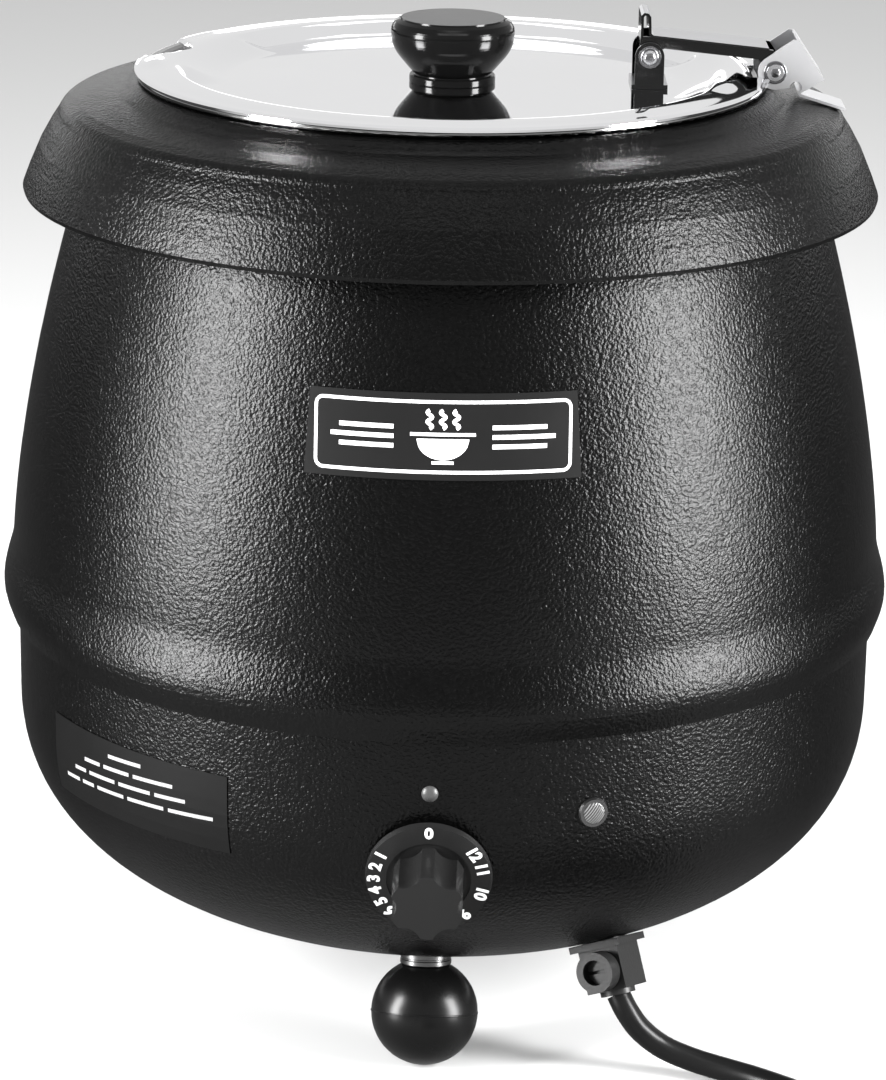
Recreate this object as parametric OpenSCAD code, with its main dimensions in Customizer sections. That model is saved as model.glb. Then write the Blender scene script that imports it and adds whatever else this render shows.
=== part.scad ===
/* [Shell] */
// Largest radius of the kettle, at the bead above the seam
shell_r = 170; // [165:1:175]
// Height of the seam between the upper shell and the base bowl
seam_z = 151.6; // [150:0.2:153]
// Wall of the pressed steel shells
shell_t = 1.2; // [1:0.1:1.6]
// Radius of the straight upper part of the base bowl
bowl_r = 164.4; // [162:0.2:165]
// Height of the flat underside of the base bowl
bowl_floor_z = 42; // [41:0.5:43]

/* [Rim] */
// Wall of the rim collar
collar_t = 2; // [1.6:0.1:2.2]
// Height of the seat that carries the pot
seat_z = 354.1; // [353.9:0.1:354.1]

/* [Pot and well] */
// Inside radius of the soup pot
pot_r = 111; // [109:0.5:111]
// Height of the inside floor of the soup pot
pot_floor_z = 93; // [92:1:110]
// Sheet of the soup pot, the well and the lid
sheet_t = 0.8; // [0.6:0.1:0.8]
// Inside radius of the water well
well_r = 114; // [113.5:0.1:114]

/* [Lid] */
// Outside radius of the lid
lid_r = 118.4; // [118:0.1:118.6]
// Height of the lid's top edge
lid_z = 358.5; // [358.5:0.1:359]
// Direction of the ladle notch, from the hinge side
ladle_turn = 164; // [150:1:175]

/* [Hinge] */
// Height of the clip pin
clip_pin_z = 360.3; // [360:0.1:360.6]
// Distance of the clip pin from the kettle's axis
clip_pin_x = 119.4; // [119.2:0.1:119.6]
// Height of the arm's front pin
arm_pin_z = 365.2; // [365:0.1:365.4]
// Distance of the arm's front pin from the kettle's axis
arm_pin_x = 72.9; // [72:0.1:74]
// Radius of both hinge pins
pin_r = 2; // [1.8:0.1:2]

/* [Controls] */
// Radius of the dial's skirt
dial_r = 22.5; // [21.5:0.1:22.6]
// How far the dial stands out from the bowl
dial_reach = 21.5; // [20:0.5:24]
// Downward tilt of the dial's axis
dial_tilt = 12; // [10:1:14]
// Height of the dial's centre
dial_z = 101; // [99:1:102]

/* [Feet and cord] */
// Radius of the ball feet
ball_r = 20; // [18:0.5:20]
// Radius of the circle on which the feet stand
foot_circle_r = 100; // [95:1:102]
// Diameter of the mains cord
cord_d = 9; // [8:0.5:9]
// Radius of the coil at the middle of its turns
coil_r = 47; // [47:0.1:47.5]

/* [Hidden] */
$fn = 96;

bead_z = 162;
bead_up = 20;
bead_down = 16;
bead_out = 3.7;
body_r = shell_r - bead_out;
bowl_top_z = 172;
bowl_depth = 92;
bowl_power = 2.3;
bowl_waist_z = 120;
run_gap = 0.05;

dial_seat_r = bowl_radius(dial_z);
dial_turn = -1.4;
dial_front = dial_seat_r + dial_reach * cos(dial_tilt) + 13.1 * sin(dial_tilt);
axis_y = (dial_front - shell_r) / 2;

lamp_turn = 19;
lamp_z = 122.5;
index_z = 132;
foot_turns = [-92.9, 27.1, 147.1];
ball_seam_tilt = 19;
ball_z = 19.6;
collar_low_z = 39;
foot_collar_h = bowl_floor_z - collar_low_z;

// Radius of the base bowl's outside at a height: a superellipse below a straight wall.
function bowl_radius(z) =
    bowl_r * pow(1 - pow(max(0, bowl_waist_z - z) / bowl_depth, bowl_power), 1 / bowl_power);
// Radius of the upper shell's outside at a height, with its bead just above the seam.
function shell_radius(z) =
    body_r - 0.0105 * pow(max(0, z - bowl_top_z), 1.58)
    + (z > bead_z - bead_down && z < bead_z + bead_up
       ? bead_out * (1 + cos(180 * (z - bead_z) / (z > bead_z ? bead_up : bead_down))) / 2 : 0);

// Unit vector, and the normal on the left of a direction in the plane.
function unit(v) = v / norm(v);
function left_of(v) = [-v.y, v.x];
// A path moved sideways by d, to its left.
function moved(path, d) = [for (i = [0:len(path) - 1])
    path[i] + d * left_of(unit(path[min(i + 1, len(path) - 1)] - path[max(i - 1, 0)]))];
function reversed(path) = [for (i = [len(path) - 1:-1:0]) path[i]];
// A Catmull-Rom curve through the points, with n steps between neighbours.
function at_spline(a, b, c, d, t) =
    0.5 * (2 * b + (c - a) * t + (2 * a - 5 * b + 4 * c - d) * t * t + (3 * b - a - 3 * c + d) * t * t * t);
function spline(p, n) = [for (i = [0:len(p) - 2], k = [0:n - 1])
    at_spline(p[max(i - 1, 0)], p[i], p[i + 1], p[min(i + 2, len(p) - 1)], k / n), p[len(p) - 1]];
// Points of an arc in the plane.
function arc(c, r, a0, a1, n) = [for (k = [0:n]) c + r * [cos(a0 + (a1 - a0) * k / n), sin(a0 + (a1 - a0) * k / n)]];

// A sheet of even thickness, turned round the axis; path runs in [radius, height].
module spun(path, t) rotate_extrude() polygon(concat(path, reversed(moved(path, t))));
// A flat plate in the X-Z plane, from y to y + t.
module plate(y, t) translate([0, y + t, 0]) rotate([90, 0, 0]) linear_extrude(t) children();
// A bent strip of sheet: its middle line runs through points in [x, z].
module strip(points, t, w)
    plate(-w / 2, w) {
        for (i = [0:len(points) - 2])
            translate(points[i])
                rotate(atan2(points[i + 1].y - points[i].y, points[i + 1].x - points[i].x))
                    translate([0, -t / 2]) square([norm(points[i + 1] - points[i]), t]);
        for (p = points) translate(p) circle(t / 2, $fn = 24);
    }
// A bar along Y through a point in the X-Z plane.
module cross_bar(x, z, r, half) translate([x, half, z]) rotate([90, 0, 0]) cylinder(r = r, h = 2 * half);
// A tube swept along points, closed at both ends.
module tube(points, r, sides) {
    function across(i) = let (v = unit(points[min(i + 1, len(points) - 1)] - points[max(i - 1, 0)]))
        unit(cross(v, [0, 0, 1]));
    function over(i) = let (v = unit(points[min(i + 1, len(points) - 1)] - points[max(i - 1, 0)]))
        cross(across(i), v);
    rings = [for (i = [0:len(points) - 1], k = [0:sides - 1])
        points[i] + r * (across(i) * cos(360 * k / sides) + over(i) * sin(360 * k / sides))];
    last = (len(points) - 1) * sides;
    sides_faces = [for (i = [0:len(points) - 2], k = [0:sides - 1])
        let (a = i * sides + k, b = i * sides + (k + 1) % sides) [a, b, b + sides, a + sides]];
    caps = [[for (k = [sides - 1:-1:0]) k], [for (k = [0:sides - 1]) last + k]];
    polyhedron(rings, concat(sides_faces, caps), convexity = 6);
}

// Moves the kettle so that the middle of its plan is the origin.
module placed() translate([0, axis_y, 0]) children();
// Frames on the bowl: +Z points out of the surface, +Y points up.
module at_dial()
    rotate([0, 0, dial_turn]) translate([0, -dial_seat_r, dial_z]) rotate([90 + dial_tilt, 0, 0]) children();
module on_bowl(turn, z) rotate([0, 0, turn]) translate([0, -bowl_radius(z), z]) rotate([90, 0, 0]) children();
module at_feet() for (a = foot_turns) rotate([0, 0, a]) translate([foot_circle_r, 0, 0]) children();
module at_cover_screws() for (a = [0, 120, 240]) rotate([0, 0, a]) translate([82, 0, 0]) children();

gland_turn = -58.2;
gland_r = 117.7;
gland_z = 50.2;
gland_lean = 26.6;
gland_block = 16.5;
gland_reach = 19;
gland_spin = -120;
cord_exit_w = 21;
// Frame on the bowl's underside: +Z points along the cord as it leaves.
module at_gland()
    rotate([0, 0, gland_turn]) translate([gland_r, 0, gland_z]) rotate([0, 180 - gland_lean, 0])
        rotate([0, 0, gland_spin]) children();
gland_dir = [cos(gland_turn) * sin(gland_lean), sin(gland_turn) * sin(gland_lean), -cos(gland_lean)];
cord_exit = [gland_r * cos(gland_turn), gland_r * sin(gland_turn), gland_z] + cord_exit_w * gland_dir;

module upper_shell() color([0.05, 0.05, 0.05]) {
    side = [for (z = [seam_z:2.75:333]) [shell_radius(z), z]];
    spun(concat(side, [[127, 341], [121.5, 345.6], [119, 349.2], [115.4, 349.2]]), shell_t);
}

module base_bowl() color([0.06, 0.06, 0.06]) difference() {
    wall = [for (z = [bowl_floor_z:3:117]) [bowl_radius(z), z]];
    spun(concat([[76, bowl_floor_z]], wall, [[bowl_r, bowl_waist_z], [bowl_r, bowl_top_z - 8]]), 1.6);
    at_feet() cylinder(r = 3.05, h = 60);
    at_cover_screws() cylinder(r = 1.95, h = 60);
    at_dial() translate([0, 0, -12]) cylinder(r = 5, h = 24);
    on_bowl(lamp_turn, lamp_z) translate([0, 0, -6]) cylinder(r = 4.7, h = 12);
    on_bowl(dial_turn, index_z) translate([0, 0, -6]) cylinder(r = 1.3, h = 12);
    at_gland() translate([0, 0, -8]) cylinder(r = 7.55, h = 16);
}

collar_path = concat([[157.8, 313.6], [159.6, 313.4], [160.1, 314.9], [157.6, 321.4], [153.6, 330.6], [149.4, 338]],
    arc([140.4, 339.9], 6.6, 20, 62, 5),
    [[139.2, 347.2], [130.8, 348.9], [124.4, 350.2], [121.4, 351.7], [119.8, 353.1]],
    [[118.4, seat_z - 0.2], [117.6, seat_z], [115.7, seat_z], [115.5, seat_z - 2.6]]);
module rim_collar() color([0.07, 0.07, 0.07]) spun(collar_path, collar_t);

well_out_r = well_r + sheet_t;
module water_well() color([0.75, 0.75, 0.76]) {
    corner = arc([well_r - 12, 98 - sheet_t], 12 + sheet_t, -90, 0, 6);
    spun(concat([[0, 98 - sheet_t - 12 - sheet_t]], corner, [[well_out_r, 350.15], [118.3, 350.15]]), sheet_t);
}
module well_gasket() color([0.3, 0.3, 0.3]) translate([0, 0, 349.25]) difference() {
    cylinder(r = 118.2, h = 0.85);
    translate([0, 0, -1]) cylinder(r = well_out_r + 0.15, h = 3);
}
module insulation_jacket() color([0.85, 0.83, 0.78]) translate([0, 0, 150]) difference() {
    cylinder(r = 128, h = 170);
    translate([0, 0, -1]) cylinder(r = well_out_r + 0.4, h = 172);
}

well_low_z = 98 - 2 * sheet_t - 12;
heater_top_z = well_low_z - 0.1;
module heater_plate() color([0.7, 0.7, 0.72]) translate([0, 0, heater_top_z - 5]) difference() {
    cylinder(r = 88, h = 5);
    translate([0, 0, -1]) cylinder(r = 3.05, h = 7);
}
element_z = heater_top_z - 5 - 4.2;
module heating_element() color([0.35, 0.33, 0.32]) rotate([0, 0, 100]) translate([0, 0, element_z])
    rotate_extrude(angle = 330) translate([66, 0]) circle(4, $fn = 32);
module element_terminals() color([0.8, 0.7, 0.4]) for (a = [100, 70]) rotate([0, 0, a]) translate([66, 0, 0])
    translate([0, 0, 56]) cylinder(r = 2, h = element_z - 4 - 56 - 0.05);
module thermal_cutout() color([0.9, 0.88, 0.8]) translate([-38, 20, heater_top_z - 5 - 9.05]) cylinder(r = 8.5, h = 9);
module tie_rod() color([0.7, 0.7, 0.7]) translate([0, 0, 36]) cylinder(r = 3, h = heater_top_z - 36.2);
module tie_nut() color([0.75, 0.75, 0.75]) translate([0, 0, 36.4]) difference() {
    cylinder(r = 6.5, h = 4.2, $fn = 6);
    translate([0, 0, -1]) cylinder(r = 3.02, h = 7);
}
module bottom_cover() color([0.6, 0.6, 0.6]) translate([0, 0, bowl_floor_z - 1.3]) difference() {
    cylinder(r = 88, h = 1.2);
    translate([0, 0, -1]) cylinder(r = 3.1, h = 4);
    at_cover_screws() translate([0, 0, -1]) cylinder(r = 2, h = 4);
    for (a = [-60:20:60]) translate([32 * cos(a + 180), 32 * sin(a + 180), -1]) cylinder(r = 2.5, h = 4);
}
module cover_screws() color([0.7, 0.7, 0.7]) at_cover_screws() {
    translate([0, 0, bowl_floor_z - 3.3]) cylinder(r1 = 2.6, r2 = 3.6, h = 2);
    translate([0, 0, bowl_floor_z - 1.4]) cylinder(r = 1.9, h = 7);
}

module foot_balls() color([0.03, 0.03, 0.03]) at_feet() difference() {
    union() {
        translate([0, 0, ball_z]) sphere(ball_r);
        translate([0, 0, ball_z]) rotate([0, -ball_seam_tilt, 0]) rotate_extrude()
            translate([ball_r - 0.1, 0]) circle(0.35, $fn = 16);
    }
    translate([-30, -30, collar_low_z]) cube([60, 60, 10]);
    translate([-30, -30, -10]) cube([60, 60, 10]);
    translate([0, 0, 28]) cylinder(r = 3.02, h = 20);
}
module foot_collars() color([0.04, 0.04, 0.04]) at_feet() difference() {
    translate([0, 0, collar_low_z]) cylinder(r = 9.5, h = foot_collar_h - 0.05);
    cylinder(r = 3.05, h = 60);
}
module foot_studs() color([0.75, 0.75, 0.75]) at_feet() translate([0, 0, 28.2]) cylinder(r = 3, h = 24);
module foot_nuts() color([0.75, 0.75, 0.75]) at_feet() translate([0, 0, bowl_floor_z + 5.2]) difference() {
    cylinder(r = 5.8, h = 5, $fn = 6);
    translate([0, 0, -1]) cylinder(r = 3.02, h = 8);
}

module thermostat_body() color([0.85, 0.82, 0.7]) at_dial() difference() {
    union() {
        translate([-15, -15, -32]) cube([30, 30, 26]);
        translate([0, 0, -6.05]) cylinder(r = 4.9, h = 6);
    }
    translate([0, 0, -20]) cylinder(r = 3 + run_gap, h = 30);
}
bulb_turn = -50;
module sensor_bulb() color([0.8, 0.5, 0.3]) rotate([0, 0, bulb_turn]) translate([well_out_r + 3.1, 0, 102])
    cylinder(r = 3, h = 44);
module capillary_tube() color([0.8, 0.5, 0.3]) {
    translate([0, 0, 99]) rotate([0, 0, -80]) rotate_extrude(angle = 30)
        translate([well_out_r + 3.1, 0]) circle(0.9, $fn = 24);
    rotate([0, 0, bulb_turn]) translate([well_out_r + 3.1, 0, 98.4]) cylinder(r = 0.9, h = 3.55, $fn = 24);
}
block_turn = -38;
module at_block() rotate([0, 0, block_turn]) translate([84, 0, bowl_floor_z + 8]) children();
module terminal_block() color([0.9, 0.9, 0.88]) at_block() difference() {
    translate([-7, -18, 0]) cube([14, 36, 12]);
    for (y = [-12, 0, 12]) translate([0, y, 6]) cylinder(r = 2.05, h = 10);
}
module terminal_screws() color([0.8, 0.7, 0.4]) at_block()
    for (y = [-12, 0, 12]) translate([0, y, 6.1]) cylinder(r = 2, h = 4.5);
module earth_stud() color([0.8, 0.7, 0.4]) translate([40, 52, bowl_floor_z - 0.05]) {
    cylinder(r = 2.5, h = 14);
    cylinder(r = 5, h = 3.5, $fn = 6);
}

module lamp_lens() color([0.85, 0.85, 0.85]) on_bowl(lamp_turn, lamp_z) intersection() {
    translate([0, 0, -6]) cylinder(r = 4, h = 12);
    translate([0, 0, -6.2]) sphere(8.4);
}
module lamp_bezel() color([0.2, 0.2, 0.2]) on_bowl(lamp_turn, lamp_z) difference() {
    union() {
        translate([0, 0, 0.1]) cylinder(r1 = 5.5, r2 = 5.1, h = 1.2);
        translate([0, 0, -5]) cylinder(r = 4.65, h = 5.2);
    }
    translate([0, 0, -7]) cylinder(r = 4.05, h = 12);
}
module lamp_body() color([0.9, 0.9, 0.9]) on_bowl(lamp_turn, lamp_z) translate([0, 0, -24]) cylinder(r = 6, h = 17.9);
module dial_index() color([0.3, 0.3, 0.3]) on_bowl(dial_turn, index_z) {
    intersection() {
        translate([0, 0, 0.05]) cylinder(r = 2.95, h = 3);
        translate([0, 0, -1.5]) sphere(3.6);
    }
    translate([0, 0, -3]) cylinder(r = 1.25, h = 3.1);
}

badge_low_z = 244.2;
badge_high_z = 273.4;
badge_half_angle = 17.6;
module front_badge() color([0.03, 0.03, 0.03]) rotate([0, 0, -90.5 - badge_half_angle])
    rotate_extrude(angle = 2 * badge_half_angle) polygon([[shell_radius(badge_low_z) + 0.3, badge_low_z],
        [shell_radius(badge_high_z) + 0.3, badge_high_z], [shell_radius(badge_high_z) + 0.85, badge_high_z + 0.1],
        [shell_radius(badge_low_z) + 0.85, badge_low_z + 0.1]]);
module caution_label() color([0.08, 0.08, 0.08]) rotate([0, 0, -150.5]) rotate_extrude(angle = 33)
    polygon(concat([for (z = [100:5:130]) [bowl_radius(z) + 0.06, z]], [for (z = [130:-5:100]) [bowl_radius(z) + 0.4, z]]));

module cord_gland() color([0.03, 0.03, 0.03]) at_gland() difference() {
    union() {
        translate([0, 0, -7]) cylinder(r = 7.5, h = 9);
        translate([-10.5, -10.5, 0.3]) cube([21, 21, 2.6]);
        translate([-gland_block / 2, -gland_block / 2, 2.4]) cube([gland_block, gland_block, gland_reach - 2.4]);
        translate([6, 0, 11.2]) rotate([0, 90, 0]) cylinder(r = 7.5, h = 8.6);
        translate([0, 0, gland_reach - 0.1]) cylinder(r = 6.6, h = cord_exit_w - gland_reach + 0.1);
    }
    translate([0, 0, -10]) cylinder(r = cord_d / 2 + 0.05, h = 50);
    translate([cord_d / 2, 0, 11.2]) rotate([0, 90, 0]) cylinder(r = 4.7, h = 20);
}
module gland_screw() color([0.1, 0.1, 0.1]) at_gland() difference() {
    translate([cord_d / 2 + 0.3, 0, 11.2]) rotate([0, 90, 0]) cylinder(r = 4.6, h = 6.2);
    translate([9.4, -5, 10.6]) cube([4, 10, 1.2]);
}
module gland_nut() color([0.03, 0.03, 0.03]) at_gland() translate([0, 0, -6.8]) difference() {
    cylinder(r = 11.5, h = 3.4, $fn = 6);
    translate([0, 0, -1]) cylinder(r = 7.52, h = 8);
}

floor_r = cord_d / 2;
coil_at = [142, -222];
coil_lanes = 3;
coil_layers = 2;
coil_in_r = coil_r - coil_lanes * cord_d / 2;
coil_w = coil_lanes * cord_d;
coil_h = coil_layers * cord_d;
// Route of the cord from the gland along the table, and of its tail from the coil to the plug.
lead_route = concat([cord_exit + gland_dir * 0.1],
    [[70.3, -110.8, 25.6], [75.6, -110.8, 18.2], [84, -110.6, 11.4], [95, -111.8, 7], [106, -115.6, 5.2],
     [118, -122, floor_r], [130, -131.5, floor_r], [143, -143.5, floor_r], [156, -156.5, floor_r],
     [169, -169.7, floor_r], [181.9, -182.7, floor_r]]);
tail_route = [[89.7, -252.7, 13.5], [82.6, -250.1, 12.6], [75.1, -247.4, 10.6], [67.6, -244.6, 8.8], [60, -241.9, 8.2]];
plug_at = [60, -241.9];
plug_turn = 160;
plug_z = 8.2;

module power_cord() color([0.04, 0.04, 0.04]) {
    tube(spline(lead_route, 3), cord_d / 2, 12);
    tube(spline(tail_route, 2), cord_d / 2, 12);
}
module cord_coil() color([0.04, 0.04, 0.04]) translate([coil_at.x, coil_at.y, 0]) rotate_extrude()
    translate([coil_in_r, 0]) polygon([[0, 2], [2, 0], [coil_w - 2, 0], [coil_w, 2],
        [coil_w, coil_h - 2], [coil_w - 2, coil_h], [2, coil_h], [0, coil_h - 2]]);
module cord_tie() color([0.08, 0.08, 0.08]) translate([coil_at.x, coil_at.y, 0]) rotate([0, 0, -20])
    translate([coil_in_r - 1.2, -2.5, 0]) difference() {
        cube([coil_w + 2.4, 5, coil_h + 1.2]);
        translate([1.1, -1, -1]) cube([coil_w + 0.2, 7, coil_h + 1.1]);
    }

module at_plug() translate([plug_at.x, plug_at.y, plug_z]) rotate([0, 0, plug_turn]) children();
blade_gap = 12.7;
earth_drop = 11.9;
plug_front = 62;
module plug_body() color([0.04, 0.04, 0.04]) at_plug() difference() {
    union() {
        rotate([0, 90, 0]) cylinder(r1 = 5.6, r2 = 7.4, h = 27);
        translate([26, 0, 2.8]) rotate([0, 90, 0]) rotate([0, 0, 90]) linear_extrude(plug_front - 26) union() {
            square([24, 14], center = true);
            square([16, 22], center = true);
            for (x = [-8, 8], y = [-7, 7]) translate([x, y]) circle(4, $fn = 32);
        }
    }
    translate([-1, 0, 0]) rotate([0, 90, 0]) cylinder(r = cord_d / 2 + 0.05, h = 12);
    for (z = [-blade_gap / 2, blade_gap / 2]) translate([52, -3.15 - 4, 2.8 + z - 0.75]) cube([20, 6.4, 1.6]);
    translate([50, 7.2, 2.8]) rotate([0, 90, 0]) cylinder(r = 2.02, h = 20);
}
module plug_blades() color([0.8, 0.7, 0.4]) at_plug() for (z = [-blade_gap / 2, blade_gap / 2])
    translate([52.1, -7.1, 2.8 + z - 0.7]) cube([26, 6.3, 1.5]);
module plug_earth_pin() color([0.8, 0.7, 0.4]) at_plug() translate([plug_front, 7.2, 2.8]) {
    translate([-11, 0, 0]) rotate([0, 90, 0]) cylinder(r = 2, h = 12);
    rotate([0, 90, 0]) cylinder(r = 2.4, h = 19);
}

rim_bead_r = 1.5;
rim_bead_at = [115.9, lid_z - sheet_t - 0.3 - rim_bead_r];
pot_out_r = pot_r + sheet_t;
module soup_pot() color([0.8, 0.8, 0.81]) {
    corner = arc([pot_r - 14, pot_floor_z + 14], 14 + sheet_t, -90, 0, 6);
    spun(concat([[0, pot_floor_z - sheet_t]], corner, [[pot_out_r, 354.6], [112.6, 356.2], [113.6, 356.6],
        [rim_bead_at.x, 356.6]]), sheet_t);
    rotate_extrude() translate(rim_bead_at) circle(rim_bead_r, $fn = 32);
}

ear_r = 6.4;
ear_in = 11.2;
ear_t = 1.2;
module clip_bracket() color([0.72, 0.72, 0.73]) difference() {
    union() {
        for (y = [-ear_in - ear_t, ear_in]) plate(y, ear_t) difference() {
            union() {
                translate([clip_pin_x, clip_pin_z]) circle(ear_r);
                polygon([[115.7, 365.5], [125.8, 372.5], [127.9, 372.3], [137.6, 358.2], [130, 353.2],
                         [124.8, 354.6], [121, 354.1], [117, 358]]);
            }
            translate([127.2, 354.7]) circle(2.3, $fn = 32);
            translate([clip_pin_x, clip_pin_z]) circle(pin_r + 0.02);
        }
        strip([[127.5, 372], [137.3, 357.6]], 1, 2 * ear_in + 0.4);
        strip([[137.3, 357.6], [131.2, 353.6], [129.5, 352.9], [128.9, 352], [129.5, 351.3], [131, 350.8], [146, 346.3]],
              1, 18.5);
        strip([[118, 354.85], [118, 355.5]], 1, 2 * ear_in + 0.4);
    }
    rotate_extrude() translate(rim_bead_at) circle(rim_bead_r + 0.02, $fn = 32);
    cross_bar(clip_pin_x, clip_pin_z, pin_r + 0.02, 20);
}
module clip_pin() color([0.6, 0.6, 0.6]) {
    cross_bar(clip_pin_x, clip_pin_z, pin_r, ear_in + ear_t);
    for (s = [-1, 1]) translate([clip_pin_x, s * (ear_in + ear_t + 0.5), clip_pin_z]) rotate([90, 0, 0])
        cylinder(r = 3.1, h = 1, center = true);
}

arm_half = 10.4;
arm_outline = concat([[118.6, 368.2], [74, 372.5], [70, 372.5]],
    arc([arm_pin_x, arm_pin_z], 4.2, 150, 390, 12), [[78.2, 368.2], [113.6, 364.7], [114.6, 361.6]],
    arc([clip_pin_x, clip_pin_z], 3.9, 180, 400, 12));
module hinge_arm() color([0.6, 0.6, 0.6]) difference() {
    union() {
        for (y = [-arm_half, arm_half - 1]) plate(y, 1) polygon(arm_outline);
        strip([[116.6, 368.4], [74, 372.5], [72.9, 373.4], [72.6, 379.6], [71.9, 380.6], [70.7, 380.8],
               [69.9, 380], [69.9, 368]], 1, 2 * arm_half - 0.4);
    }
    cross_bar(arm_pin_x, arm_pin_z, pin_r + run_gap, 20);
    cross_bar(clip_pin_x, clip_pin_z, pin_r + run_gap, 20);
}

panel_z = 353.1;
hinge_notch_half = 14.6;
module lid_panel() color([0.85, 0.85, 0.86]) difference() {
    spun([[0, panel_z - sheet_t], [97, panel_z - sheet_t], [98.4, 352.9], [102, 357.8], [103, 358.5], [104.2, 358.6],
          [106, 358.4], [lid_r, lid_z - sheet_t]], sheet_t);
    rotate([0, 0, ladle_turn]) translate([0, 0, 340]) linear_extrude(40) {
        translate([110.4, 0]) circle(6);
        polygon([[109, -6], [124, -18], [124, 18], [109, 6]]);
    }
    translate([110.6, -hinge_notch_half, 340]) cube([20, 2 * hinge_notch_half, 40]);
    translate([0, 0, 340]) cylinder(r = 2.55, h = 40);
}
module lid_bracket() color([0.5, 0.5, 0.5]) difference() {
    union() {
        translate([66.4, -11.9, panel_z + 0.05]) cube([13.4, 23.8, 1.7]);
        for (y = [-11.9, 10.9]) plate(y, 1) {
            translate([arm_pin_x, arm_pin_z]) circle(5.4);
            translate([arm_pin_x - 5.4, panel_z + 0.5]) square([10.8, arm_pin_z - panel_z - 0.5]);
        }
    }
    cross_bar(arm_pin_x, arm_pin_z, pin_r + 0.02, 20);
    for (y = [-5, 5]) translate([arm_pin_x, y, 350]) cylinder(r = 1.6, h = 10);
}
module lid_rivets() color([0.7, 0.7, 0.7]) for (y = [-5, 5]) translate([arm_pin_x, y, panel_z + 0.1]) {
    cylinder(r = 1.55, h = 2);
    translate([0, 0, 1.7]) cylinder(r1 = 3, r2 = 2.2, h = 1);
}
module arm_pin() color([0.6, 0.6, 0.6]) {
    cross_bar(arm_pin_x, arm_pin_z, pin_r, 11.9);
    for (s = [-1, 1]) translate([arm_pin_x, s * 12.4, arm_pin_z]) rotate([90, 0, 0])
        cylinder(r = 2.6, h = 1, center = true);
}

knob_low_z = panel_z + 0.05;
knob_top_z = 377;
module lid_knob() color([0.02, 0.02, 0.02]) difference() {
    rotate_extrude() polygon(concat(
        [[0, knob_low_z], [15.9, knob_low_z], [16.1, knob_low_z + 0.3], [16.1, 355.4], [15.8, 355.8], [14.3, 355.9],
         [14.2, 356.3]],
        spline([[14.9, 356.8], [17.7, 360], [20.7, 363.7], [22.4, 367], [23, 370.4], [22.9, 373.2], [21.6, 375.6]], 4),
        [[19.9, 376.5], [19.5, 376.4], [19.3, knob_top_z], [0, knob_top_z]]));
    translate([0, 0, 350]) cylinder(r = 2.55, h = 22);
}
module knob_screw() color([0.7, 0.7, 0.7]) {
    translate([0, 0, panel_z - sheet_t - 0.2]) cylinder(r = 2.5, h = 16);
    translate([0, 0, panel_z - sheet_t - 2.2]) cylinder(r1 = 3.6, r2 = 4.6, h = 2.1);
}

skirt_low_w = 1.3;
skirt_high_w = 3.6;
recess_r = 15;
recess_depth = 0.6;
grip_r = 13.1;
flute_r = 6.8;
flute_at = 17.4;
module dial() color([0.05, 0.05, 0.05]) at_dial() difference() {
    union() {
        difference() {
            translate([0, 0, skirt_low_w]) cylinder(r1 = dial_r, r2 = dial_r - 0.5, h = skirt_high_w - skirt_low_w);
            translate([0, 0, skirt_high_w - recess_depth]) cylinder(r = recess_r, h = 2);
        }
        translate([0, 0, skirt_low_w + 0.5]) linear_extrude(dial_reach - skirt_low_w - 0.5) difference() {
            circle(grip_r);
            for (k = [0:5]) rotate(60 * k) translate([flute_at, 0]) circle(flute_r, $fn = 64);
        }
    }
    cylinder(r = 3.02, h = 16);
}
module dial_spindle() color([0.7, 0.7, 0.7]) at_dial() translate([0, 0, -18]) cylinder(r = 3, h = 33);

placed() upper_shell();
placed() base_bowl();
placed() rim_collar();
placed() water_well();
placed() well_gasket();
placed() insulation_jacket();
placed() heater_plate();
placed() heating_element();
placed() element_terminals();
placed() thermal_cutout();
placed() tie_rod();
placed() tie_nut();
placed() bottom_cover();
placed() cover_screws();
placed() foot_balls();
placed() foot_collars();
placed() foot_studs();
placed() foot_nuts();
placed() thermostat_body();
placed() sensor_bulb();
placed() capillary_tube();
placed() terminal_block();
placed() terminal_screws();
placed() earth_stud();
placed() lamp_lens();
placed() lamp_bezel();
placed() lamp_body();
placed() dial_index();
placed() front_badge();
placed() caution_label();
placed() cord_gland();
placed() gland_screw();
placed() gland_nut();
placed() power_cord();
placed() cord_coil();
placed() cord_tie();
placed() plug_body();
placed() plug_blades();
placed() plug_earth_pin();
placed() soup_pot();
placed() clip_bracket();
placed() clip_pin();
placed() hinge_arm();
placed() lid_panel();
placed() lid_bracket();
placed() lid_rivets();
placed() arm_pin();
placed() lid_knob();
placed() knob_screw();
placed() dial();
placed() dial_spindle();
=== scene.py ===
# %% [markdown]
# # A soup kettle, finished over its CAD frame
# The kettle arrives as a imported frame: every part at its true size, each riding on the body that it
# moves with. This notebook adds what the frame can't hold: the mirror lid with its pressed step, the
# printed plate and film, the figures on the dial, the coiled cord, and a finish for every surface.
# Working over a fixed frame is the way a product team does it, because a part that is drawn twice is
# sooner or later drawn in two sizes.

# %% Load the frame
import math

import bmesh
import bpy
from mathutils import Matrix, Vector


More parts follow.
